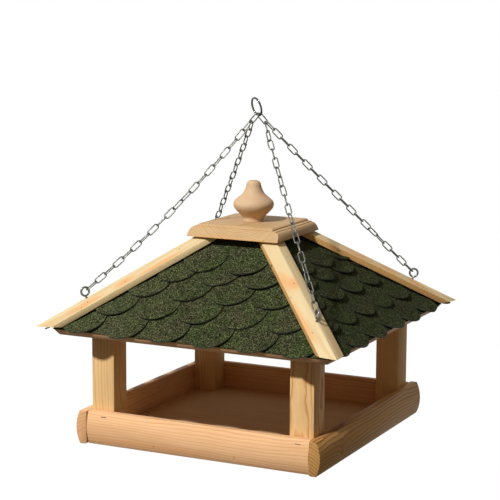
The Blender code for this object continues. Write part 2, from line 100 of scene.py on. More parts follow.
# Place and way out of the wood, and for a staple the way of its crown
BRADS = (
    ((-0.0617, -0.1794, 0.0094), (0, -0.97, -0.22)),
    ((0.0582, -0.1796, 0.0105), (0, -0.97, -0.20)),
    ((-0.0600, 0.1795, 0.0100), (0, 0.97, -0.21)),
    ((0.0650, 0.1796, 0.0110), (0, 0.97, -0.20)),
    ((-0.0535, 0.0565, 0.0080), (0, 0, 1)),
    ((-0.1420, 0.1200, 0.0080), (0, 0, 1)),
    ((0.1380, 0.1220, 0.0080), (0, 0, 1)),
    ((0.1400, -0.1180, 0.0080), (0, 0, 1)),
    ((-0.1380, -0.1210, 0.0080), (0, 0, 1)),
)
COVER_BRADS = (
    ("front", (0.0696, -0.0952, 0.2528)),
    ("front", (0.1198, -0.1398, 0.2211)),
    ("front", (0.1713, -0.1861, 0.1882)),
    ("right", (0.0836, -0.0740, 0.2611)),
    ("right", (0.1760, -0.1640, 0.1954)),
)
STAPLES = (
    ((-0.1395, -0.1790, 0.0400), (0, -0.96, 0.26), (1, 0, 0.05)),
    ((0.1490, -0.1790, 0.0400), (0, -0.96, 0.26), (1, 0, -0.08)),
    ((-0.1400, 0.1790, 0.0400), (0, 0.96, 0.26), (1, 0, 0.06)),
    ((0.1390, 0.1790, 0.0400), (0, 0.96, 0.26), (1, 0, -0.04)),
)
EYE_TURNS = {"front_right": 0, "back_right": -15, "back_left": 5, "front_left": 12}
# Way of the grain, and the pith's place beside the rail or post
RAIL_GRAINS = {
    "front": ((1, 0, 0), (-0.016, 0.038)),
    "back": ((1, 0, 0), (-0.014, 0.070)),
    "left": ((0, 1, 0), (0.034, -0.045)),
    "right": ((0, 1, 0), (-0.014, -0.040)),
}
POST_PITHS = {
    "front_right": (-0.006, -0.009),
    "front_left": (-0.034, -0.018),
    "back_right": (0.030, 0.022),
    "back_left": (-0.020, 0.036),
}
# Parts of the slope, and bearing and swell of each round of the ring's weld
COURSE_SHARES = (0.0, 0.1897, 0.3824, 0.5445, 0.6512)
LAP_SHARE = 0.178
WELD_TURNS = ((-40, 1.05), (-35, 1.12), (-30, 1.05))
FLOOR_LOW, FLOOR_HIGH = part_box("floor_panel")
HOUSE = Vector(((FLOOR_LOW.x + FLOOR_HIGH.x) / 2, (FLOOR_LOW.y + FLOOR_HIGH.y) / 2, FLOOR_LOW.z))
UP = Vector((0, 0, 1))
EVEN = Vector((1, 1, 1))
FIT = 0.0003
SUN_WAY = Vector((-0.19, -0.71, 0.67))

# Inset and height in millimetres up the cap's moulding, radius and height up the
# finial, and radius and height up a brad
CAP_PROFILE = (
    (0.0, 0.0), (0.1, 2.2), (0.3, 4.4), (0.6, 6.2), (1.1, 8.0), (1.9, 9.6), (2.9, 11.0),
    (3.9, 11.8), (4.9, 12.2), (7.1, 12.3), (6.5, 12.7), (6.6, 13.4), (8.4, 13.8), (10.0, 14.0),
    (12.0, 14.1), (11.4, 14.6), (11.6, 15.5), (12.7, 16.2), (13.1, 16.7), (13.7, 17.0),
)
FINIAL_PROFILE = (
    (14.2, 0.0), (14.3, 3.4), (15.3, 5.6), (17.3, 7.8), (20.5, 11.0), (24.3, 14.9), (26.9, 18.4),
    (28.2, 22.4), (27.7, 25.4), (26.3, 28.1), (23.6, 30.7), (20.0, 33.6), (16.7, 36.5),
    (14.2, 39.5), (12.4, 43.0), (11.0, 46.6), (10.2, 49.8), (9.4, 52.4), (7.9, 54.6), (5.3, 55.8),
    (1.8, 56.2),
)
BRAD_PROFILE = (
    (0.45, -3.0), (0.45, -0.35), (0.80, -0.15), (0.86, 0.05), (0.74, 0.20), (0.30, 0.24)
)


# Sizes and colours


def length(name, description, default):
    return FloatProperty(
        name=name, description=description, default=default, min=0.0, unit="LENGTH", precision=4
    )


def colour(name, description, default):
    return FloatVectorProperty(
        name=name, description=description, default=default, subtype="COLOR", min=0, max=1
    )


def angle(name, description, degrees):
    return FloatProperty(
        name=name, description=description, default=math.radians(degrees), subtype="ANGLE"
    )


def amount(name, description, default):
    return FloatProperty(name=name, description=description, default=default)


class FeederWood(bpy.types.PropertyGroup):
    """Pine tones and edge sizes"""

    rail_pale: colour("Rail, pale", "Early wood of the tray rails", (0.80, 0.50, 0.27))
    rail_dark: colour("Rail, dark", "Late wood of the tray rails", (0.52, 0.25, 0.10))
    # The right rail's colours are its own browner wood and painted shade of the unlit right side.
    right_rail_pale_painted_shade: colour("Right rail, pale", "Early wood of the right rail", (0.64, 0.37, 0.125))
    right_rail_dark_painted_shade: colour("Right rail, dark", "Late wood of the right rail", (0.24, 0.11, 0.03))
    post_pale: colour("Post, pale", "Early wood of the posts", (0.77, 0.53, 0.26))
    post_dark: colour("Post, dark", "Late wood of the posts", (0.54, 0.30, 0.11))
    bold_dark: colour("Bold grain", "Late wood of the boldest post", (0.48, 0.205, 0.055))
    cover_pale: colour("Hip cover, pale", "Early wood of the hip covers", (0.69, 0.57, 0.34))
    cover_dark: colour("Hip cover, dark", "Late wood of the hip covers", (0.56, 0.37, 0.17))
    sawn: colour("Sawn edge", "Sawn edges of the hip covers", (0.66, 0.38, 0.14))
    # Painted light: the front left cover's sawn edges are painted paler, as if lit.
    sawn_painted_lit: colour("Sawn edge, pale", "Sawn edges of the front left hip cover, painted lit", (0.84, 0.66, 0.36))
    blush: colour("Blush", "Pink orange wood round a knot", (0.72, 0.36, 0.15))
    board_pale: colour("Roof board, pale", "Early wood of the roof boards", (0.72, 0.46, 0.25))
    board_dark: colour("Roof board, dark", "Late wood of the roof boards", (0.50, 0.27, 0.12))
    floor_pale: colour("Floor, pale", "Face veneer of the floor board", (0.78, 0.56, 0.34))
    floor_dark: colour("Floor, dark", "Grain of the floor board", (0.60, 0.38, 0.20))
    cap_pale: colour("Cap, pale", "Early wood of the cap board", (0.55, 0.38, 0.20))
    cap_dark: colour("Cap, dark", "Late wood of the cap board", (0.40, 0.23, 0.10))
    cap_end: colour("Cap, end grain", "Front and back ends of the cap board", (0.62, 0.30, 0.085))
    finial_pale: colour("Finial, pale", "Early wood of the finial", (0.61, 0.44, 0.28))
    finial_dark: colour("Finial, dark", "Late wood of the finial", (0.50, 0.31, 0.16))
    cap_rake: length("Cap rake", "Slope of the cap's sawn ends over its height", 0.012)
    knot: colour("Knot", "Heart of a knot", (0.30, 0.13, 0.05))
    soft_edge: length("Soft edge", "Rounding of planed edges", 0.0007)
    cut_edge: length("Cut edge", "Rounding of sawn and moulded edges", 0.0005)
    floor_edge: length("Floor edge", "Rounding of the floor board's edges", 0.0004)
    plumb: length("Plumb cut", "Drawing in of a hip cover's upper arrises", 0.0030)


class FeederRoof(bpy.types.PropertyGroup):
    """Roof slope and shingles"""

    pitch: angle("Pitch", "Slope of the roof boards", 35.4)
    eave_half: length("Eave", "Middle of the roof to the upper edge of an eave", 0.202)
    eave_height: length("Eave height", "Tray underside to the upper edge of an eave", 0.160)
    cover_top: length("Cover height", "Roof board to the top of a hip cover", 0.0138)
    felt: length("Felt", "Thickness of a shingle", 0.0015)
    tab_width: length("Tab pitch", "Width of one tab and its slit", 0.0635)
    slit: length("Slit", "Gap between two tabs", 0.002)
    tab_length: length("Tab length", "Tip of a tab to the end of its slit", 0.039)
    arc_depth: length("Arc depth", "Height of the rounded part of a tab", 0.032)
    curl: length("Curl", "Most that a tab's tip stands up", 0.0034)
    tail_overhang: length("Tail", "Reach of a course past its line", 0.0093)
    trim: length("Trim", "Gap between a course and the hip", 0.0008)
    mesh_step: length("Mesh step", "Size of the faces that let a course curl", 0.009)
    starter: length("Starter", "Thickness of a starter strip", 0.0010)
    starter_head: length("Starter head", "Reach of a starter strip up the slope", 0.034)
    granules: colour("Granules", "Main tone of the green granules", (0.042, 0.064, 0.020))
    brown_granules: colour("Brown granules", "Granules of the duller patches", (0.050, 0.050, 0.026))
    left_end_granules: colour("Left end granules", "Granules of the paler left end", (0.092, 0.110, 0.050))
    pale_granules: colour("Pale granules", "Lightest granules", (0.20, 0.205, 0.105))
    dark_granules: colour("Dark granules", "Darkest granules", (0.008, 0.011, 0.005))
    bitumen: colour("Bitumen", "Cut edge of the felt", (0.014, 0.016, 0.011))


class FeederMetal(bpy.types.PropertyGroup):
    """Ring, chain and eye screws"""

    ring_radius: length("Ring radius", "Middle of the ring to the middle of its wire", 0.0125)
    ring_wire: length("Ring wire", "Thickness of the ring's wire", 0.0028)
    ring_turn: angle("Ring turn", "Bearing of the ring's plane", -36.0)
    ring_lean: angle("Ring lean", "Lean of the ring's top to the front left", 15.0)
    ring_bearing: angle("Ring seats", "Angle of each top link's seat from the foot of the ring", 18.0)
    link_wire: length("Link wire", "Thickness of the chain's wire", 0.0018)
    link_length: length("Link length", "Inner length of a link", 0.01536)
    seat_drop: length("Seat drop", "Top link's crown below its seat on the chains", 0.0007)
    link_slack: length("Link slack", "Length that lets each link bear on the next", 0.0006)
    link_width: length("Link width", "Inner width of a link", 0.0052)
    link_count: IntProperty(name="Links", description="Links of one chain", default=20)
    top_lean: angle("Top link lean", "Lean of the two links on the ring", 38.6)
    link_sides: IntProperty(name="Link steps", description="Steps round a link", default=20)
    eye_radius: length("Eye radius", "Middle of an eye to the middle of its wire", 0.0058)
    eye_shank: length("Eye shank", "Length of an eye screw inside its hip cover", 0.0068)
    eye_stem: length("Eye stem", "Hip cover to the foot of an eye", 0.0030)
    eye_bend: length("Eye bend", "Bend from the shank into the eye", 0.0030)
    eye_corner: length("Eye place", "Distance of an eye screw from both middle planes", 0.1695)
    eye_lean: angle("Eye lean", "Outward lean of an eye screw", 12)
    eye_wire: length("Eye wire", "Thickness of an eye screw's wire", 0.0029)
    zinc: colour("Zinc", "Plated steel of chain and eye screws", (0.155, 0.155, 0.135))
    dull_steel: colour("Dull steel", "Steel of staples and brads", (0.17, 0.13, 0.09))
    polished: colour("Polished steel", "Steel of the ring", (0.085, 0.083, 0.075))


class FeederStage(bpy.types.PropertyGroup):
    """Floor, light and camera"""

    floor_drop: length("Floor drop", "Tray underside to the floor", 0.90)
    floor_grey: colour("Floor", "Tone of the floor before its own glow", (0.09, 0.09, 0.09))
    floor_glow: amount("Glow", "Glow of the floor", 0.92)
    sun_strength: amount("Sun", "Strength of the main light", 3.9)
    sun_tone: colour("Sun tone", "Tone of the main light", (1.0, 0.99, 0.98))
    sky_strength: amount("Sky", "Strength of the even light", 0.20)
    sky_tone: colour("Sky tone", "Tone of the even light", (1.0, 0.77, 0.50))
    camera_azimuth: angle("Azimuth", "Bearing of the camera round the feeder", 26.11)
    camera_elevation: angle("Elevation", "Height of the camera above the horizon", 9.29)
    camera_distance: length("Distance", "Camera to the middle of its view", 2.33)
    camera_height: length("View height", "Tray underside to the middle of the view", 0.25334)
    camera_aside: length("View aside", "View's middle to the left of the tray's middle", 0.00696)
    camera_roll: angle("Roll", "Turn of the picture", 0.27)
    sun_angle: angle("Sun size", "Width of the main light in the sky", 3.5)
    focal: amount("Lens", "Focal length in millimetres", 120.96)


# Working on one thing at a time


def take(thing):
    bpy.ops.object.select_all(action="DESELECT")
    thing.select_set(True)
    bpy.context.view_layer.objects.active = thing


def edit(thing):
    take(thing)
    bpy.ops.object.mode_set(mode="EDIT")


def leave():
    bpy.ops.object.mode_set(mode="OBJECT")


def named(thing, name):
    """The thing, with this name for itself and its mesh."""
    thing.name = name
    thing.data.name = name
    return thing


def fresh(name):
    """Takes the primitive just added under its name."""
    return named(bpy.context.object, name)


def pick(thing, kind, test):
    """Selects the verts, edges or faces of the edited thing that pass the test."""
    bpy.ops.mesh.select_mode(type=kind)
    bpy.ops.mesh.select_all(action="DESELECT")
    shape = bmesh.from_edit_mesh(thing.data)
    items = {"VERT": shape.verts, "EDGE": shape.edges, "FACE": shape.faces}[kind]
    for item in [item for item in items if test(item)]:
        item.select_set(True)
    shape.select_flush_mode()
    bmesh.update_edit_mesh(thing.data)


def pick_all():
    bpy.ops.mesh.select_all(action="SELECT")


def draw_out(*way):
    """Extrudes the picked faces."""
    bpy.ops.mesh.extrude_region_move(TRANSFORM_OT_translate={"value": way})


def apply_place(thing):
    take(thing)
    bpy.ops.object.transform_apply(location=True, rotation=True, scale=True)


def disc(name, sides, radius, place):
    """A round face in edit mode, all picked, ready to be drawn out."""
    bpy.ops.mesh.primitive_circle_add(
        vertices=sides, radius=radius, fill_type="NGON", location=place
    )
    made = fresh(name)
    apply_place(made)
    edit(made)
    pick_all()
    return made


def join(things, name):
    bpy.ops.object.select_all(action="DESELECT")
    for thing in things:
        thing.select_set(True)
    bpy.context.view_layer.objects.active = things[0]
    if len(things) > 1:
        bpy.ops.object.join()
    return fresh(name)


def duplicate(thing, matrix=None):
    made = thing.copy()
    made.data = thing.data.copy()
    bpy.context.scene.collection.objects.link(made)
    if matrix is not None:
        made.matrix_world = matrix
    return made


def discard(thing):
    bpy.data.objects.remove(thing, do_unlink=True)


def outward(thing):
    """Merges doubles and turns every face outwards."""
    edit(thing)
    pick_all()
    bpy.ops.mesh.remove_doubles(threshold=1e-6)
    bpy.ops.mesh.normals_make_consistent(inside=False)
    leave()


def smooth(thing, degrees):
    take(thing)
    bpy.ops.object.shade_smooth_by_angle(angle=math.radians(degrees))


def soften(thing, width):
    """Rounds the sharp edges and keeps the result."""
    step = thing.modifiers.new("soft_edge", "BEVEL")
    step.width = width
    step.segments = 2
    step.limit_method = "ANGLE"
    step.angle_limit = math.radians(25)
    take(thing)
    bpy.ops.object.modifier_apply(modifier=step.name)


def solid_copy(node, name):
    """A merged copy of one solid of the frame, to be worked on."""
    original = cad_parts[node]
    made = duplicate(original)
    for key in list(made.keys()):
        del made[key]
    made.parent = None
    named(made, name).data.materials.clear()
    edit(made)
    pick_all()
    bpy.ops.mesh.customdata_custom_splitnormals_clear()
    bpy.ops.mesh.remove_doubles(threshold=2e-6)
    bpy.ops.mesh.dissolve_limited(angle_limit=math.radians(0.5))
    leave()
    return made


def finish_piece(thing, material, body, slot, *nodes):
    """Gives a piece its material, hangs it on its body and hides the solids it stands in for."""
    thing.data.materials.clear()
    thing.data.materials.append(material)
    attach(thing, body)
    if nodes:
        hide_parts(*nodes)


def feeder_point(x, y, z):
    """A place measured from the middle of the tray's underside."""
    return HOUSE + Vector((x, y, z))


def marks(spots):
    """Spots on the feeder with their sizes, placed in the scene."""
    return [(tuple(feeder_point(*spot)), *size) for spot, *size in spots]


def millimetres(profile):
    """A profile given in millimetres, in metres."""
    return [(wide / 1000, tall / 1000) for wide, tall in profile]


def roof_turn(degrees):
    return Matrix.Rotation(math.radians(degrees), 4, "Z")


def eased(points):
    """Adds a point on a smooth curve between each two points."""
    full = [points[0]]
    for i in range(len(points) - 1):
        before, after = points[max(i - 1, 0)], points[min(i + 2, len(points) - 1)]
        a, b = points[i], points[i + 1]
        full.append(tuple((9 * (p + q) - r - s) / 16 for p, q, r, s in zip(a, b, before, after)))
        full.append(b)
    return full


def lathe(name, profile, foot, sides=72):
    """Turns a profile of (radius, height) by raising one round after another."""
    radius, height = profile[0]
    made = disc(name, sides, radius, foot + height * UP)
    for wide, tall in profile[1:]:
        draw_out(0, 0, tall - height)
        grow = wide / radius
        bpy.ops.transform.resize(value=(grow, grow, 1), center_override=foot + tall * UP)
        radius, height = wide, tall
    leave()
    outward(made)
    return made


# Materials


def plug(tree, node, sockets):
    """Links or sets inputs of a node."""
    for key, value in sockets.items():
        if isinstance(value, bpy.types.NodeSocket):
            tree.links.new(value, node.inputs[key])
        else:
            node.inputs[key].default_value = value


def add(tree, kind, sockets=None, **settings):
    """Adds a node with these inputs and settings."""
    made = tree.nodes.new(kind)
    for key, value in settings.items():
        setattr(made, key, value)
    plug(tree, made, sockets or {})
    return made


def calc(tree, operation, *values):
    made = add(tree, "ShaderNodeMath", dict(enumerate(values)), operation=operation)
    return made.outputs[0]


def ramp(tree, value, *stops):
    """Grey curve through (position, level) stops."""
    made = add(tree, "ShaderNodeValToRGB", {0: value})
    line = made.color_ramp
    while len(line.elements) < len(stops):
        line.elements.new(0.5)
    for element, (spot, level) in zip(line.elements, stops):
        element.position = spot
        element.color = (level, level, level, 1)
    return made.outputs[0]


def tint(tree, factor, low, high):
    """Mixes two colours by a factor."""
    sockets = {0: factor}
    for index, value in ((6, low), (7, high)):
        linked = isinstance(value, bpy.types.NodeSocket)
        sockets[index] = value if linked else (*value[:3], 1)
    return add(tree, "ShaderNodeMix", sockets, data_type="RGBA").outputs[2]


def vector_calc(tree, operation, first, second):
    return add(tree, "ShaderNodeVectorMath", {0: first, 1: second}, operation=operation)


def dot(tree, vector, direction):
    return vector_calc(tree, "DOT_PRODUCT", vector, direction).outputs["Value"]


def grain_noise(tree, vector, stretch, detail=2.0, roughness=0.5):
    """Noise with its own scale along each axis."""
    scaled = vector_calc(tree, "MULTIPLY", vector, stretch)
    sockets = {"Vector": scaled.outputs[0], "Scale": 1.0, "Detail": detail, "Roughness": roughness}
    return add(tree, "ShaderNodeTexNoise", sockets).outputs[0]


def strongest(tree, values):
    """Highest of some values."""
    most = values[0]
    for value in values[1:]:
        most = calc(tree, "MAXIMUM", most, value)
    return most


def emboss(tree, shader, height, strength, depth):
    sockets = {"Strength": strength, "Distance": depth, "Height": height}
    plug(tree, shader, {"Normal": add(tree, "ShaderNodeBump", sockets).outputs[0]})


def rays(tree, *kinds):
    """One for a ray of these kinds, zero for any other."""
    path = add(tree, "ShaderNodeLightPath")
    return strongest(tree, [path.outputs[f"Is {kind} Ray"] for kind in kinds])


def new_material(name):
    made = bpy.data.materials.new(name)
    made.use_nodes = True
    tree = made.node_tree
    shader = tree.nodes["Principled BSDF"]
    place = add(tree, "ShaderNodeTexCoord")
    return made, tree, shader, place


def pine(
    name, pale, dark, along, rise, centre, pith, gap, contrast, knots=(), blush=(),
    roughness=0.55, sawn=None, sawn_way=None, end_tone=None, wave=1.0,
):
    """Pine with growth rings round a pith that lies beside the board.

    along is the direction of the grain, rise a direction across it, and pith the
    pith's place across the board from its centre, side and rise in metres. gap is
    the width of a ring. A knot has a place and a radius, a blush a place, a reach
    along the grain and half a width.
    """
    made, tree, shader, place = new_material(name)
    along = Vector(along).normalized()
    rise = Vector(rise)
    rise = (rise - rise.dot(along) * along).normalized()
    side = along.cross(rise)
    spot = place.outputs["Object"]
    local = vector_calc(tree, "SUBTRACT", spot, centre).outputs[0]
    a, b, c = (dot(tree, local, way) for way in (along, side, rise))
    grain = add(tree, "ShaderNodeCombineXYZ", {0: a, 1: b, 2: c}).outputs[0]

    wander = grain_noise(tree, grain, (5.0, 16.0, 16.0), 1.0)
    drift = calc(tree, "MULTIPLY_ADD", wander, 0.020, -0.010)
    ripple = grain_noise(tree, grain, (22.0, 60.0, 60.0), 2.0)
    drift = calc(tree, "MULTIPLY_ADD", ripple, 0.003 * wave, drift)
    pulls, hearts = [], []
    for knot, radius in knots:
        away = vector_calc(tree, "DISTANCE", spot, knot).outputs["Value"]
        away = calc(tree, "DIVIDE", away, radius)
        pulls.append(calc(tree, "DIVIDE", 1.0, calc(tree, "MULTIPLY_ADD", away, away, 1.0)))
        hearts.append(ramp(tree, calc(tree, "MULTIPLY", away, 0.5), (0.30, 1.0), (0.55, 0.0)))
    if knots:
        drift = calc(tree, "MULTIPLY_ADD", strongest(tree, pulls), 0.013, drift)
    reach_b = calc(tree, "SUBTRACT", b, pith[0])
    reach_c = calc(tree, "SUBTRACT", c, pith[1])
    far = calc(tree, "MULTIPLY", reach_c, reach_c)
    far = calc(tree, "SQRT", calc(tree, "MULTIPLY_ADD", reach_b, reach_b, far))
    phase = calc(tree, "DIVIDE", calc(tree, "ADD", far, drift), gap)
    saw = calc(tree, "FRACT", phase)
    ring = calc(tree, "FLOOR", phase)
    lone = add(tree, "ShaderNodeTexWhiteNoise", {"W": ring}, noise_dimensions="1D").outputs[0]
    late = ramp(tree, saw, (0.0, 0.35), (0.12, 0.0), (0.55, 0.16), (0.90, 1.0), (1.0, 0.35))
    late = calc(tree, "MULTIPLY", late, calc(tree, "MULTIPLY_ADD", lone, 0.75, 0.30))
    late = calc(tree, "MULTIPLY", late, contrast)

    fibre = grain_noise(tree, grain, (30.0, 1300.0, 1300.0), 3.0, 0.6)
    blotch = grain_noise(tree, grain, (7.0, 34.0, 34.0), 2.0)
    warm = tuple(0.62 * p + 0.38 * d for p, d in zip(pale, dark))
    body = tint(tree, ramp(tree, blotch, (0.38, 0.0), (0.68, 0.75)), pale, warm)
    body = tint(tree, late, body, dark)
    body = tint(tree, ramp(tree, fibre, (0.42, 0.0), (0.75, 0.22)), body, dark)
    settings = bpy.context.scene.feeder_wood
    for middle, reach, half in blush:
        off = vector_calc(tree, "SUBTRACT", spot, middle).outputs[0]
        step = dot(tree, off, along)
        near = calc(tree, "DIVIDE", dot(tree, off, off), half**2)
        squash = 1 / reach**2 - 1 / half**2
        near = calc(tree, "MULTIPLY_ADD", calc(tree, "MULTIPLY", step, step), squash, near)
        near = calc(tree, "MULTIPLY_ADD", blotch, 1.2, calc(tree, "SUBTRACT", near, 0.6))
        body = tint(tree, ramp(tree, near, (0.15, 0.75), (1.0, 0.0)), body, settings.blush)
    if knots:
        heart = calc(tree, "MULTIPLY", strongest(tree, hearts), 0.85)
        body = tint(tree, heart, body, settings.knot)

    normal = place.outputs["Normal"]
    end = calc(tree, "ABSOLUTE", dot(tree, normal, along))
    end = ramp(tree, end, (0.80, 0.0), (0.97, 1.0))
    if end_tone is None:
        shade = tuple(0.80 * d + 0.10 * p for p, d in zip(pale, dark))
        body = tint(tree, calc(tree, "MULTIPLY", end, 0.38), body, shade)
    else:
        shade = tint(tree, late, end_tone, tuple(0.6 * value for value in end_tone))
        body = tint(tree, calc(tree, "MULTIPLY", end, 0.9), body, shade)
    height = calc(tree, "MULTIPLY_ADD", fibre, 0.6, calc(tree, "MULTIPLY", late, 0.5))
    if sawn is not None:
        facing = calc(tree, "ABSOLUTE", dot(tree, normal, sawn_way))
        rough = ramp(tree, facing, (0.93, 0.0), (0.98, 1.0))
        teeth = grain_noise(tree, grain, (900.0, 120.0, 120.0), 2.0, 0.7)
        worn = tuple(0.80 * value for value in sawn)
        cut = tint(tree, ramp(tree, teeth, (0.35, 0.0), (0.70, 1.0)), sawn, worn)
        body = tint(tree, rough, body, cut)
        teeth = calc(tree, "MULTIPLY", teeth, rough)
        height = calc(tree, "MULTIPLY_ADD", teeth, 2.0, height)
    matt = calc(tree, "MULTIPLY_ADD", fibre, 0.16, roughness - 0.08)
    plug(tree, shader, {"Base Color": body, "Roughness": matt, "Specular IOR Level": 0.12})
    emboss(tree, shader, height, 0.5, 0.00035)
    return made


def felt(name, shade=1.0):
    """Bitumen felt with green mineral granules, paler towards the left. A shade below one darkens the
    granules, as painted shade.
    """
    settings = bpy.context.scene.feeder_roof
    made, tree, shader, place = new_material(name)
    spot = place.outputs["Object"]
    cells = {"Vector": spot, "Scale": 980.0, "Randomness": 1.0}
    grains = add(tree, "ShaderNodeTexVoronoi", cells)
    tone = add(tree, "ShaderNodeSeparateColor", {0: grains.outputs["Color"]})
    pale = ramp(tree, tone.outputs[0], (0.66, 0.0), (0.90, 1.0))
    deep = ramp(tree, tone.outputs[1], (0.50, 0.0), (0.70, 1.0))
    patch = grain_noise(tree, spot, 34.0 * EVEN, 3.0, 0.6)
    mix = ramp(tree, patch, (0.42, 0.0), (0.60, 1.0))
    green = tint(tree, mix, settings.granules, settings.brown_granules)
    # The granules grow paler towards the left end of the roof.
    left = calc(tree, "MULTIPLY_ADD", dot(tree, spot, (-1, 0, 0)), 5.0, -0.10)
    left = calc(tree, "MULTIPLY", ramp(tree, left, (0.0, 0.0), (0.85, 0.75)), shade)
    green = tint(tree, left, green, settings.left_end_granules)
    pale = calc(tree, "MULTIPLY", pale, 0.85)
    body = tint(tree, pale, green, settings.pale_granules)
    body = tint(tree, deep, body, settings.dark_granules)
    # Painted shade: the granules are darkened for a shaded side of the roof.
    if shade < 1:
        body = tint(tree, 0.85 * (1 - shade), body, settings.dark_granules)
    plug(tree, shader, {"Base Color": body, "Roughness": 0.92, "Specular IOR Level": 0.03})
    fine = grain_noise(tree, spot, 1500.0 * EVEN, 1.0)
    lump = calc(tree, "SUBTRACT", 1.0, grains.outputs["Distance"])
    height = calc(tree, "MULTIPLY_ADD", fine, 0.35, lump)
    emboss(tree, shader, height, 0.9, 0.0008)
    return made


def cut_felt(name):
    """The black edge of cut felt, with a few granules caught in it."""
    settings = bpy.context.scene.feeder_roof
    made, tree, shader, place = new_material(name)
    spot = place.outputs["Object"]
    crumbs = grain_noise(tree, spot, 900.0 * EVEN, 2.0)
    caught = ramp(tree, crumbs, (0.50, 0.0), (0.72, 0.8))
    body = tint(tree, caught, settings.bitumen, settings.granules)
    plug(tree, shader, {"Base Color": body, "Roughness": 0.8})
    emboss(tree, shader, crumbs, 0.6, 0.0005)
    return made


def steel(name, tone, roughness, dull):
    """Metal with drawn-wire streaks, dull spots and small dents."""
    made, tree, shader, place = new_material(name)
    spot = place.outputs["Object"]
    cloud = grain_noise(tree, spot, 160.0 * EVEN, 3.0)
    fleck = grain_noise(tree, spot, 1400.0 * EVEN, 2.0)
    worn = tuple(0.55 * value for value in tone)
    body = tint(tree, ramp(tree, cloud, (0.42, 0.0), (0.72, dull)), tone, worn)
    body = tint(tree, ramp(tree, fleck, (0.60, 0.0), (0.75, 0.35)), body, worn)
    matt = calc(tree, "MULTIPLY_ADD", cloud, 0.22, roughness - 0.08)
    plug(tree, shader, {"Base Color": body, "Metallic": 1.0, "Roughness": matt})
    emboss(tree, shader, fleck, 0.25, 0.0001)
    return made


# Ring, chains and eye screws


def bead(thing, test, swell):
    """Swells one round of the wire to a weld."""
    edit(thing)
    pick(thing, "VERT", test)
    shape = bmesh.from_edit_mesh(thing.data)
    chosen = [vert.co.copy() for vert in shape.verts if vert.select]
    middle = sum(chosen, Vector()) / len(chosen)
    bpy.ops.transform.resize(value=(swell, swell, swell), center_override=middle)
    leave()


def eye_foot():
    """Where the front right eye screw leaves its hip cover."""
    roof = bpy.context.scene.feeder_roof
    corner = bpy.context.scene.feeder_metal.eye_corner
    cover = roof.cover_top / math.cos(roof.pitch)
    ridge = roof.eave_height + (roof.eave_half - corner) * math.tan(roof.pitch) + cover
    return Vector((corner, -corner, ridge))


def hanging_lines():
    """Where the right top link hangs, its crown and its ways, and an eye on its cover.

    The top link is measured from the upright line under the seats of the ring, and
    the eye from the middle of the tray's underside.
    """
    metal = bpy.context.scene.feeder_metal
    wires = (metal.ring_wire + metal.link_wire) / 2
    bend = (metal.link_width + metal.link_wire) / 2
    straight = metal.link_length - metal.link_width
    bearing = metal.ring_bearing
    line = Vector((math.cos(metal.ring_turn), math.sin(metal.ring_turn), 0))
    low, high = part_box("hanging_ring")
    lean = Vector((line.y, -line.x, 0)) * math.sin(metal.ring_lean)
    rise = metal.ring_radius * math.cos(bearing) * (lean + math.cos(metal.ring_lean) * UP)
    hang = (low + high) / 2 - rise
    seat = hang.z * UP + metal.ring_radius * math.sin(bearing) * line
    hang.z = 0
    grip = bend - wires - FIT
    run = grip + straight
    pull_y = -seat.y / run
    flat = math.sqrt(1 - pull_y**2)
    pull = Vector((flat * math.sin(metal.top_lean), pull_y, -flat * math.cos(metal.top_lean)))
    tangent = math.cos(bearing) * line + math.sin(bearing) * UP
    normal = (tangent - tangent.dot(pull) * pull).normalized()
    crown = seat + (run + metal.seat_drop) * pull
    axis = Matrix.Rotation(metal.eye_lean, 3, Vector((1, 1, 0))) @ UP
    eye = eye_foot() + (metal.eye_stem + metal.eye_radius) * axis
    link = seat + (grip + straight / 2) * pull
    return hang, crown, eye, normal, normal.cross(pull), link, pull


def chain_spots(start, end, first_across, sag, low, high, degrees):
    """Centre, length direction and width direction of each link from the top down.

    The chain is twisted by so many degrees between the links numbered low and high,
    counted up from the eye, and its first link gives half way to the link above it.
    """
    metal = bpy.context.scene.feeder_metal
    crown = (metal.link_length + metal.link_wire) / 2
    steps = 400
    line = end - start
    level = line.cross(UP).normalized()
    droop = level.cross(line).normalized()
    if droop.z > 0:
        droop = -droop
    spots = []
    for i in range(steps + 1):
        t = i / steps
        spots.append(start + t * line + 4 * sag * t * (1 - t) * droop)
    reach = [0.0]
    for a, b in zip(spots, spots[1:]):
        reach.append(reach[-1] + (b - a).length)
    last = metal.link_count - 1
    pitch = (reach[-1] - 2 * crown) / last
    twist = math.radians(degrees)
    found = []
    j = 0
    for i in range(metal.link_count):
        want = crown + i * pitch
        while reach[j + 1] < want:
            j += 1
        spot = spots[j].lerp(spots[j + 1], (want - reach[j]) / (reach[j + 1] - reach[j]))
        along = (spots[j + 1] - spots[j]).normalized()
        upright = level.cross(along).normalized()
        rest = last - i
        turn = math.pi / 2 * rest + twist * min(max((rest - low) / (high - low), 0), 1)
        across = math.cos(turn) * level + math.sin(turn) * upright
        if i == 0:
            across += math.copysign(1, across.dot(first_across)) * first_across
            across = (across - across.dot(along) * along).normalized()
        found.append((spot, along, across))
    return found


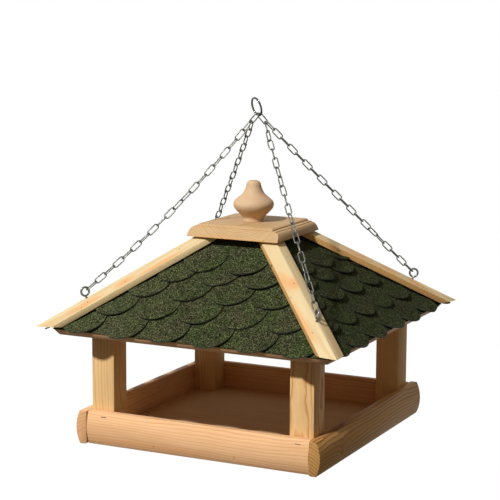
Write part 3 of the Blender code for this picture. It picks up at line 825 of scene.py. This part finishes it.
def link_template():
    """One welded link: a torus pulled apart into two half rounds and two straights."""
    settings = bpy.context.scene.feeder_metal
    middle = (settings.link_width + settings.link_wire) / 2
    straight = settings.link_length + settings.link_slack - settings.link_width
    bpy.ops.mesh.primitive_torus_add(
        major_segments=settings.link_sides,
        minor_segments=8,
        major_radius=middle,
        minor_radius=settings.link_wire / 2,
    )
    made = fresh("link")
    edit(made)
    pick_all()
    bpy.ops.transform.rotate(
        value=math.pi / settings.link_sides, orient_axis="Z", center_override=(0, 0, 0)
    )
    for way in (1, -1):
        pick(made, "VERT", lambda vert: vert.co.x * way > 0)
        bpy.ops.transform.translate(value=(way * straight / 2, 0, 0))
    pick(
        made,
        "EDGE",
        lambda edge: abs(edge.verts[0].co.x - edge.verts[1].co.x) > straight * 0.8
        and edge.verts[0].co.y > 0,
    )
    bpy.ops.mesh.subdivide(number_cuts=3)
    leave()
    tight = straight * 0.05
    bead(made, lambda vert: abs(vert.co.x) < tight and vert.co.y > 0, 1.16)
    smooth(made, 60)
    return made


def eye_template():
    """One eye screw: a round bar drawn up, bent aside and spun into an eye."""
    settings = bpy.context.scene.feeder_metal
    bend, radius = settings.eye_bend, settings.eye_radius
    swing = math.acos(bend / (bend + radius))
    middle = settings.eye_stem + radius
    neck = middle - (bend + radius) * math.sin(swing)
    foot = -settings.eye_shank
    made = disc("eye", 12, settings.eye_wire / 2, (0, 0, foot))
    for _ in range(2):
        draw_out(0, 0, (neck - foot) / 2)
    bpy.ops.mesh.spin(steps=6, angle=swing, center=(bend, 0, neck), axis=(0, -1, 0))
    round_eye = math.radians(330)
    bpy.ops.mesh.spin(steps=34, angle=round_eye, center=(0, 0, middle), axis=(0, 1, 0))
    leave()
    outward(made)
    return made


def laid_link(template, middle, along, across):
    facing = along.cross(across).normalized()
    turn = Matrix((along, across, facing)).transposed().to_4x4()
    return duplicate(template, Matrix.Translation(middle) @ turn)


class FEEDER_OT_ring(bpy.types.Operator):
    """Bend and weld the ring that rests on the hook"""

    bl_idname = "feeder.ring"
    bl_label = "Hanging ring"

    def execute(self, context):
        settings = context.scene.feeder_metal
        low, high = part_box("hanging_ring")
        bpy.ops.mesh.primitive_torus_add(
            major_segments=72,
            minor_segments=16,
            major_radius=settings.ring_radius,
            minor_radius=settings.ring_wire / 2,
        )
        made = fresh("ring_wire")
        for turn, swell in WELD_TURNS:
            way = Vector((math.cos(math.radians(turn)), math.sin(math.radians(turn)), 0))
            bead(made, lambda vert: way.angle(Vector((vert.co.x, vert.co.y, 0))) < 0.03, swell)
        made.rotation_euler = (math.pi / 2 + settings.ring_lean, 0, settings.ring_turn)
        made.location = (low + high) / 2
        apply_place(made)
        smooth(made, 60)
        material = steel("ring_steel", settings.polished, 0.13, 0.5)
        finish_piece(made, material, "ring", "polished_steel", "hanging_ring")
        return {"FINISHED"}


class FEEDER_OT_chains(bpy.types.Operator):
    """Lay the links of the four chains and the two links on the ring"""

    bl_idname = "feeder.chains"
    bl_label = "Chains"

    def execute(self, context):
        settings = context.scene.feeder_metal
        material = steel("chain_zinc", settings.zinc, 0.34, 0.7)
        template = link_template()
        hang, crown, eye, normal, side, link, pull = hanging_lines()
        grip = settings.eye_radius - (settings.eye_wire + settings.link_wire) / 2 - FIT
        runs = {}
        for name, half in (("right", 0), ("left", 180)):
            turn = roof_turn(half).to_3x3()
            runs["top_link_" + name] = [(hang + turn @ link, turn @ pull, turn @ side)]
        for corner, (half, way, sag, *twist) in CHAINS.items():
            turn = roof_turn(half).to_3x3()
            aside = way * (settings.link_wire / 2 + 0.6 * FIT) * side
            start = hang + turn @ (crown + aside)
            hold = HOUSE + roof_turn(CORNERS[corner]).to_3x3() @ eye
            toward = (hold - start).normalized()
            across = turn @ normal
            across = (across - across.dot(toward) * toward).normalized()
            end = hold - grip * toward
            runs["chain_" + corner] = chain_spots(start, end, across, sag, *twist)
        for node, spots in runs.items():
            links = [laid_link(template, *spot) for spot in spots]
            made = join(links, node + "_wire")
            apply_place(made)
            finish_piece(made, material, "feeder", "zinc_steel", node)
        discard(template)
        return {"FINISHED"}


class FEEDER_OT_eye_screws(bpy.types.Operator):
    """Bend the four eye screws and set them in the hip covers"""

    bl_idname = "feeder.eye_screws"
    bl_label = "Eye screws"

    def execute(self, context):
        settings = context.scene.feeder_metal
        material = steel("eye_zinc", settings.zinc, 0.30, 0.6)
        template = eye_template()
        lean = Matrix.Rotation(settings.eye_lean, 4, "Y")
        for name, degrees in CORNERS.items():
            spot = HOUSE + roof_turn(degrees) @ eye_foot()
            own = roof_turn(EYE_TURNS[name])
            place = Matrix.Translation(spot) @ roof_turn(degrees - 45) @ lean @ own
            made = named(duplicate(template, place), "eye_" + name)
            apply_place(made)
            smooth(made, 60)
            finish_piece(made, material, "feeder", "zinc_steel", "eye_screw_" + name)
        discard(template)
        return {"FINISHED"}


# Tray and posts


def plank(node, name, slot, edge, pale, dark, along, rise, work=None, **grain):
    """One wooden solid of the frame with rounded edges and its own grain."""
    made = solid_copy(node, name)
    if work is not None:
        work(made)
    soften(made, edge)
    smooth(made, 30)
    low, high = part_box(node)
    material = pine(name + "_pine", pale, dark, along, rise, (low + high) / 2, **grain)
    finish_piece(made, material, "feeder", slot, node)


class FEEDER_OT_tray(bpy.types.Operator):
    """Plane the four rails and lay the floor board"""

    bl_idname = "feeder.tray"
    bl_label = "Tray"

    def execute(self, context):
        wood = context.scene.feeder_wood
        for side, (along, pith) in RAIL_GRAINS.items():
            knots = marks(RAIL_KNOTS.get(side, ()))
            plank(
                "rail_" + side, side + "_rail", "rail_pine", wood.soft_edge,
                # The rail with knots, the right one, takes the darker colours: its own wood and
                # painted shade.
                wood.right_rail_pale_painted_shade if knots else wood.rail_pale,
                wood.right_rail_dark_painted_shade if knots else wood.rail_dark,
                along, UP, pith=pith, gap=0.0040, contrast=1.15 if knots else 0.65,
                knots=knots, blush=marks(RAIL_BLUSH.get(side, ())), wave=1.1 if knots else 1.0,
            )
        plank(
            "floor_panel", "floor_board", "floor_board", wood.floor_edge,
            wood.floor_pale, wood.floor_dark, (1, 0, 0), UP,
            pith=(0.03, -0.16), gap=0.006, contrast=0.35, roughness=0.7,
        )
        return {"FINISHED"}


class FEEDER_OT_posts(bpy.types.Operator):
    """Plane the four posts"""

    bl_idname = "feeder.posts"
    bl_label = "Posts"

    def execute(self, context):
        wood = context.scene.feeder_wood
        for corner, pith in POST_PITHS.items():
            bold = corner == "front_right"
            plank(
                "post_" + corner, corner + "_post", "post_pine", wood.soft_edge,
                wood.post_pale, wood.bold_dark if bold else wood.post_dark, UP, (0, -1, 0),
                pith=pith, gap=0.0034 if bold else 0.0030,
                contrast=1.15 if bold else 0.75, wave=1.8 if bold else 0.7,
            )
        return {"FINISHED"}


# Staples and brads


def along_normal(spot, normal, way):
    """Place whose Z leaves the wood along the normal and whose X follows way."""
    up = Vector(normal).normalized()
    across = (Vector(way) - Vector(way).dot(up) * up).normalized()
    turn = Matrix((across, up.cross(across), up)).transposed().to_4x4()
    return Matrix.Translation(feeder_point(*spot)) @ turn


def staple_template():
    """A wire leg drawn up, bent over, drawn along and bent down again."""
    wire, bend, crown, leg = 0.00034, 0.0005, 0.0064, 0.0030
    half = crown / 2
    made = disc("staple", 8, wire, (-half - bend, 0, -leg))
    draw_out(0, 0, leg - bend)
    for centre in (-half, half):
        if centre > 0:
            draw_out(crown, 0, 0)
        bpy.ops.mesh.spin(
            steps=4, angle=math.pi / 2, center=(centre, 0, -bend), axis=(0, -1, 0)
        )
    draw_out(0, 0, bend - leg)
    leave()
    outward(made)
    return made


class FEEDER_OT_fasteners(bpy.types.Operator):
    """Drive the staples of the tray and the brads of rails, floor and hip covers"""

    bl_idname = "feeder.fasteners"
    bl_label = "Staples and brads"

    def execute(self, context):
        slope = context.scene.feeder_roof.pitch
        sin, cos = math.sin(slope), math.cos(slope)
        material = steel("fastener_steel", context.scene.feeder_metal.dull_steel, 0.45, 0.6)
        brad, staple = lathe("brad", millimetres(BRAD_PROFILE), Vector(), 12), staple_template()
        made = []
        for spot, normal in BRADS:
            made.append(duplicate(brad, along_normal(spot, normal, (1, 0, 0.3))))
        for degrees in CORNERS.values():
            turn = roof_turn(degrees).to_3x3()
            for side, spot in COVER_BRADS:
                flat = Vector((0, -1, 0)) if side == "front" else Vector((1, 0, 0))
                normal = turn @ (sin * flat + cos * UP)
                place = along_normal(turn @ Vector(spot), normal, turn @ Vector((0.3, 1, 0)))
                made.append(duplicate(brad, place))
        for spot, normal, way in STAPLES:
            made.append(duplicate(staple, along_normal(spot, normal, way)))
        discard(brad)
        discard(staple)
        fixed = join(made, "staples_and_brads")
        apply_place(fixed)
        outward(fixed)
        smooth(fixed, 40)
        finish_piece(fixed, material, "feeder", "zinc_steel")
        return {"FINISHED"}


# Roof


def roof_frame(tail, lift, tilt, degrees):
    """Place of a flat sheet whose X lies along the eave and whose Y climbs the slope."""
    roof = bpy.context.scene.feeder_roof
    slope = roof.pitch
    y = -roof.eave_half + tail * math.cos(slope) - lift * math.sin(slope)
    z = roof.eave_height + tail * math.sin(slope) + lift * math.cos(slope)
    place = Matrix.Translation(HOUSE) @ roof_turn(degrees) @ Matrix.Translation((0, y, z))
    return place @ Matrix.Rotation(slope - tilt, 4, "X")


class FEEDER_OT_roof_boards(bpy.types.Operator):
    """Mitre the four roof boards"""

    bl_idname = "feeder.roof_boards"
    bl_label = "Roof boards"

    def execute(self, context):
        wood = context.scene.feeder_wood
        slope = context.scene.feeder_roof.pitch
        for side, (degrees, _) in SIDES.items():
            turn = roof_turn(degrees).to_3x3()
            plank(
                "roof_panel_" + side, side + "_board", "roof_board", wood.cut_edge,
                wood.board_pale, wood.board_dark, turn @ Vector((1, 0, 0)),
                turn @ Vector((0, -math.sin(slope), math.cos(slope))),
                pith=(0.04, -0.09), gap=0.0048, contrast=0.6,
            )
        return {"FINISHED"}


def tab_rim():
    """Open outline of one tab: a half round with straight sides up to its slits."""
    roof = bpy.context.scene.feeder_roof
    half = (roof.tab_width - roof.slit) / 2
    bpy.ops.mesh.primitive_circle_add(vertices=44, radius=half, fill_type="NOTHING")
    made = fresh("tab")
    edit(made)
    pick(made, "VERT", lambda vert: vert.co.y > 1e-5)
    bpy.ops.mesh.delete(type="VERT")
    pick_all()
    bpy.ops.transform.resize(value=(1, roof.arc_depth / half, 1), center_override=(0, 0, 0))
    bpy.ops.transform.translate(value=(0, roof.arc_depth, 0))
    neck = roof.tab_length - roof.arc_depth
    pick(made, "VERT", lambda vert: vert.co.y > roof.arc_depth - 1e-5)
    bpy.ops.mesh.extrude_vertices_move(TRANSFORM_OT_translate={"value": (0, neck, 0)})
    leave()
    return made


def course_sheet(rim, tail, head, shift, phase):
    """One course of tabs laid flat, cut to the hips, with its tail at Y = 0."""
    roof = bpy.context.scene.feeder_roof
    width = roof.tab_width
    cos = math.cos(roof.pitch)
    span = roof.eave_half - tail * cos
    tabs = []
    for k in range(-5, 6):
        middle = (k + phase) * width + shift
        if abs(middle) - width / 2 < span:
            tabs.append(duplicate(rim, Matrix.Translation((middle, 0, 0))))
    made = join(tabs, "course")
    apply_place(made)
    deep = head - tail
    edit(made)
    shape = bmesh.from_edit_mesh(made.data)
    ends = sorted(
        (vert for vert in shape.verts if vert.co.y > roof.tab_length - 1e-5),
        key=lambda vert: vert.co.x,
    )
    for left, right in zip(ends[1:-1:2], ends[2:-1:2]):
        shape.edges.new((left, right))
    corners = [shape.verts.new((ends[i].co.x, deep, 0)) for i in (0, -1)]
    shape.edges.new((ends[0], corners[0]))
    shape.edges.new((ends[-1], corners[1]))
    shape.edges.new(corners)
    bmesh.update_edit_mesh(made.data)
    pick_all()
    bpy.ops.mesh.edge_face_add()
    for way in (1, -1):
        pick_all()
        bpy.ops.mesh.bisect(
            plane_co=(way * (span - roof.trim), 0, 0),
            plane_no=(way, cos, 0),
            clear_outer=True,
            use_fill=False,
        )
    step = roof.mesh_step
    for i in range(1, int(deep / step) + 1):
        pick_all()
        bpy.ops.mesh.bisect(plane_co=(0, i * step, 0), plane_no=(0, 1, 0))
    for i in range(-int(span / step) - 1, int(span / step) + 2):
        pick_all()
        bpy.ops.mesh.bisect(plane_co=(i * step, 0, 0), plane_no=(1, 0, 0))
    leave()
    return made


def curl_tabs(sheet, shift, phase, seed, share):
    """Lifts each tab's tip a little by its own amount."""
    roof = bpy.context.scene.feeder_roof
    fade = 0.030
    for vert in sheet.data.vertices:
        tab = round((vert.co.x - shift) / roof.tab_width - phase)
        own = noise.noise(Vector((tab * 3.7, seed * 5.3, 0.5)))
        near = max(0.0, 1 - vert.co.y / fade) ** 1.3
        wave = noise.noise(Vector((vert.co.x * 38, vert.co.y * 38, seed)))
        aside = (vert.co.x - shift) / roof.tab_width - phase - tab
        vert.co.z += share * roof.curl * near * (0.62 + 0.7 * own + 0.3 * wave + 0.5 * aside)


class FEEDER_OT_shingles(bpy.types.Operator):
    """Cut and lay the starter strips and the five courses of each side"""

    bl_idname = "feeder.shingles"
    bl_label = "Shingles"

    def execute(self, context):
        roof = context.scene.feeder_roof
        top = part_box("cap_board")[0].z - HOUSE.z - FIT
        slope = (top - roof.eave_height) / math.sin(roof.pitch)
        tails = [share * slope - roof.tail_overhang for share in COURSE_SHARES]
        lap_lift = roof.felt + FIT
        tilt = lap_lift / (LAP_SHARE * slope)
        sunny = felt("green_granules")
        shaded = felt("painted_shade_granules", 0.55)
        edge = cut_felt("felt_edge")
        rim = tab_rim()
        for row, (side, (degrees, shift)) in enumerate(SIDES.items()):
            # The right side's courses take the felt with painted shade: darker granules standing in
            # for that side's shade.
            granules = shaded if side == "right" else sunny
            strip = solid_copy("starter_strip_" + side, side + "_starter")
            finish_piece(strip, granules, "feeder", "green_bitumen", "starter_strip_" + side)
            lift = 2 * FIT + roof.starter + tilt * (roof.starter_head - tails[0])
            for i, tail in enumerate(tails):
                if i:
                    lift += lap_lift - tilt * (tail - tails[i - 1])
                highest = slope - (lift + roof.felt) / math.tan(roof.pitch)
                head = min(tail + (lift - FIT) / tilt, highest)
                phase = 0.5 * ((i + 1) % 2)
                sheet = course_sheet(rim, tail, head, shift, phase)
                curl_tabs(sheet, shift, phase, row * 5 + i, 1.5 if side == "right" else 1.0)
                named(sheet, f"{side}_course_{i + 1}")
                for material in (granules, edge):
                    sheet.data.materials.append(material)
                wall = sheet.modifiers.new("thickness", "SOLIDIFY")
                wall.thickness = roof.felt
                wall.offset = 1.0
                wall.material_offset_rim = 1
                take(sheet)
                bpy.ops.object.modifier_apply(modifier=wall.name)
                sheet.matrix_world = roof_frame(tail, lift, tilt, degrees)
                apply_place(sheet)
                smooth(sheet, 40)
                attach(sheet, "feeder")
                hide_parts(f"shingle_course_{side}_{i + 1}")
        discard(rim)
        return {"FINISHED"}


def plumb_edges(made, turn, slope):
    """Leans the long edges of a hip cover upright by drawing in their upper arrises."""
    near = 0.0004
    hip = turn @ Vector((-1, 1, math.tan(slope))).normalized()
    edit(made)
    for flat in (Vector((1, 0, 0)), Vector((0, -1, 0))):
        normal = turn @ (math.sin(slope) * flat + math.cos(slope) * UP)
        outside = hip.cross(normal)
        if outside.z > 0:
            outside.negate()
        reach = max(vert.co.dot(outside) for vert in made.data.vertices) - near
        outer = [vert.co for vert in made.data.vertices if vert.co.dot(outside) > reach]
        top = max(spot.dot(normal) for spot in outer) - near
        pick(made, "VERT", lambda vert: vert.co.dot(outside) > reach and vert.co.dot(normal) > top)
        bpy.ops.transform.translate(value=-bpy.context.scene.feeder_wood.plumb * outside)
    leave()


class FEEDER_OT_hip_covers(bpy.types.Operator):
    """Plane the four folded hip covers"""

    bl_idname = "feeder.hip_covers"
    bl_label = "Hip covers"

    def execute(self, context):
        wood = context.scene.feeder_wood
        slope = context.scene.feeder_roof.pitch
        hip = Vector((-1, 1, math.tan(slope))).normalized()
        for corner, degrees in CORNERS.items():
            turn = roof_turn(degrees).to_3x3()
            plank(
                "hip_cover_" + corner, corner + "_cover", "cover_pine", wood.cut_edge,
                wood.cover_pale, wood.cover_dark, turn @ hip, UP,
                work=lambda made: plumb_edges(made, turn, slope),
                pith=(0.006, -0.055), gap=0.0040, contrast=0.5,
                knots=marks(COVER_KNOTS[corner]), blush=marks(BLUSH[corner]),
                # The front left cover's sawn edges take the paler colour, as painted light.
                sawn=wood.sawn_painted_lit if corner == "front_left" else wood.sawn,
                sawn_way=turn @ Vector((1, 1, 0)).normalized(),
            )
        return {"FINISHED"}


# Cap and finial


class FEEDER_OT_cap(bpy.types.Operator):
    """Run the moulding of the cap board"""

    bl_idname = "feeder.cap"
    bl_label = "Cap board"

    def execute(self, context):
        wood = context.scene.feeder_wood
        low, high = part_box("cap_board")
        middle = (low + high) / 2
        half = (high.x - low.x) / 2
        bpy.ops.mesh.primitive_plane_add(size=2 * half, location=(middle.x, middle.y, low.z))
        made = fresh("cap_moulding")
        apply_place(made)
        edit(made)
        pick_all()
        wide, deep, tall, peak = half, half, 0.0, 0.0
        for inset, height in millimetres(CAP_PROFILE)[1:]:
            peak = max(peak, height)
            side = half - inset
            end = half - wood.cap_rake * peak / (high.z - low.z)
            centre = (middle.x, middle.y, low.z + height)
            draw_out(0, 0, height - tall)
            bpy.ops.transform.resize(value=(side / wide, end / deep, 1), center_override=centre)
            wide, deep, tall = side, end, height
        leave()
        outward(made)
        soften(made, wood.cut_edge)
        smooth(made, 30)
        material = pine(
            "cap_grain", wood.cap_pale, wood.cap_dark, (0, 1, 0), UP, middle,
            pith=(0.004, 0.046), gap=0.0034, contrast=0.8, end_tone=wood.cap_end,
        )
        finish_piece(made, material, "feeder", "cap_pine", "cap_board")
        return {"FINISHED"}


class FEEDER_OT_finial(bpy.types.Operator):
    """Turn the finial"""

    bl_idname = "feeder.finial"
    bl_label = "Finial"

    def execute(self, context):
        wood = context.scene.feeder_wood
        low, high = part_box("cap_board")
        foot = Vector(((low.x + high.x) / 2, (low.y + high.y) / 2, high.z + FIT))
        made = lathe("finial_turning", eased(millimetres(FINIAL_PROFILE)), foot)
        smooth(made, 50)
        material = pine(
            "finial_grain", wood.finial_pale, wood.finial_dark, UP, (0, -1, 0), foot,
            pith=(0.010, -0.018), gap=0.0034, contrast=0.35,
            knots=marks(FINIAL_KNOTS), roughness=0.5,
        )
        finish_piece(made, material, "feeder", "finial_pine", "finial")
        return {"FINISHED"}


# Stage


class FEEDER_OT_stage(bpy.types.Operator):
    """Lay the floor, light the feeder and aim the camera"""

    bl_idname = "feeder.stage"
    bl_label = "Stage"

    def execute(self, context):
        settings = context.scene.feeder_stage
        self.lay_floor(settings)
        self.light(context, settings)
        self.aim_camera(context, settings)
        context.scene.view_settings.view_transform = "Standard"
        return {"FINISHED"}

    def lay_floor(self, settings):
        bpy.ops.mesh.primitive_plane_add(
            size=9, location=(HOUSE.x, HOUSE.y, HOUSE.z - settings.floor_drop)
        )
        floor = fresh("studio_floor")
        material, tree, shader, _ = new_material("studio_floor")
        grey = (*settings.floor_grey, 1)
        plug(tree, shader, {"Base Color": grey, "Roughness": 1.0, "Specular IOR Level": 0.0})
        glow = add(tree, "ShaderNodeEmission", {"Strength": settings.floor_glow})
        seen = rays(tree, "Camera", "Glossy")
        plain = shader.outputs[0]
        both = add(tree, "ShaderNodeAddShader", {0: plain, 1: glow.outputs[0]}).outputs[0]
        mix = add(tree, "ShaderNodeMixShader", {0: seen, 1: plain, 2: both})
        plug(tree, tree.nodes["Material Output"], {"Surface": mix.outputs[0]})
        floor.data.materials.append(material)

    def light(self, context, settings):
        lamp = bpy.data.lights.new("sun_lamp", "SUN")
        lamp.energy = settings.sun_strength
        lamp.angle = settings.sun_angle
        lamp.color = settings.sun_tone
        sun = bpy.data.objects.new("sun_lamp", lamp)
        context.scene.collection.objects.link(sun)
        sun.rotation_euler = SUN_WAY.to_track_quat("Z", "Y").to_euler()
        world = bpy.data.worlds.new("studio_sky")
        world.use_nodes = True
        context.scene.world = world
        tree = world.node_tree
        seen = rays(tree, "Camera", "Glossy", "Transmission")
        spare = 1.0 - settings.sky_strength
        strength = calc(tree, "MULTIPLY_ADD", seen, spare, settings.sky_strength)
        shown = tint(tree, seen, settings.sky_tone, (1, 1, 1))
        plug(tree, tree.nodes["Background"], {"Strength": strength, "Color": shown})

    def aim_camera(self, context, settings):
        a, e = settings.camera_azimuth, settings.camera_elevation
        back = Vector((math.sin(a) * math.cos(e), -math.cos(a) * math.cos(e), math.sin(e)))
        right = Vector((math.cos(a), math.sin(a), 0))
        above = back.cross(right)
        roll = settings.camera_roll
        across = math.cos(roll) * right + math.sin(roll) * above
        upright = math.cos(roll) * above - math.sin(roll) * right
        target = feeder_point(0, 0, settings.camera_height) - settings.camera_aside * right
        lens = bpy.data.cameras.new("photo_camera")
        lens.lens = settings.focal
        lens.sensor_width = 36
        lens.clip_end = 30
        camera = bpy.data.objects.new("photo_camera", lens)
        context.scene.collection.objects.link(camera)
        turn = Matrix((across, upright, back)).transposed().to_4x4()
        camera.matrix_world = Matrix.Translation(target + settings.camera_distance * back) @ turn
        context.scene.camera = camera


# Panel and registration


PIECES = (
    FEEDER_OT_stage,
    FEEDER_OT_ring,
    FEEDER_OT_chains,
    FEEDER_OT_eye_screws,
    FEEDER_OT_tray,
    FEEDER_OT_posts,
    FEEDER_OT_roof_boards,
    FEEDER_OT_shingles,
    FEEDER_OT_hip_covers,
    FEEDER_OT_cap,
    FEEDER_OT_finial,
    FEEDER_OT_fasteners,
)
GROUPS = {
    "feeder_wood": FeederWood,
    "feeder_roof": FeederRoof,
    "feeder_metal": FeederMetal,
    "feeder_stage": FeederStage,
}


class FEEDER_PT_panel(bpy.types.Panel):
    """Lists the feeder's pieces and sizes"""

    bl_idname = "FEEDER_PT_panel"
    bl_label = "Bird feeder"
    bl_space_type = "VIEW_3D"
    bl_region_type = "UI"
    bl_category = "Feeder"

    def draw(self, context):
        for piece in PIECES:
            self.layout.operator(piece.bl_idname)
        for name, group in GROUPS.items():
            box = self.layout.box()
            for key in group.__annotations__:
                box.prop(getattr(context.scene, name), key)


def register():
    for group in GROUPS.values():
        bpy.utils.register_class(group)
    for piece in PIECES:
        bpy.utils.register_class(piece)
    bpy.utils.register_class(FEEDER_PT_panel)
    for name, group in GROUPS.items():
        setattr(bpy.types.Scene, name, PointerProperty(type=group))


def unregister():
    for name in GROUPS:
        delattr(bpy.types.Scene, name)
    bpy.utils.unregister_class(FEEDER_PT_panel)
    for piece in reversed(PIECES):
        bpy.utils.unregister_class(piece)
    for group in reversed(GROUPS.values()):
        bpy.utils.unregister_class(group)


def main():
    register()
    for piece in PIECES:
        area, name = piece.bl_idname.split(".")
        getattr(getattr(bpy.ops, area), name)()


if __name__ == "__main__":
    main()
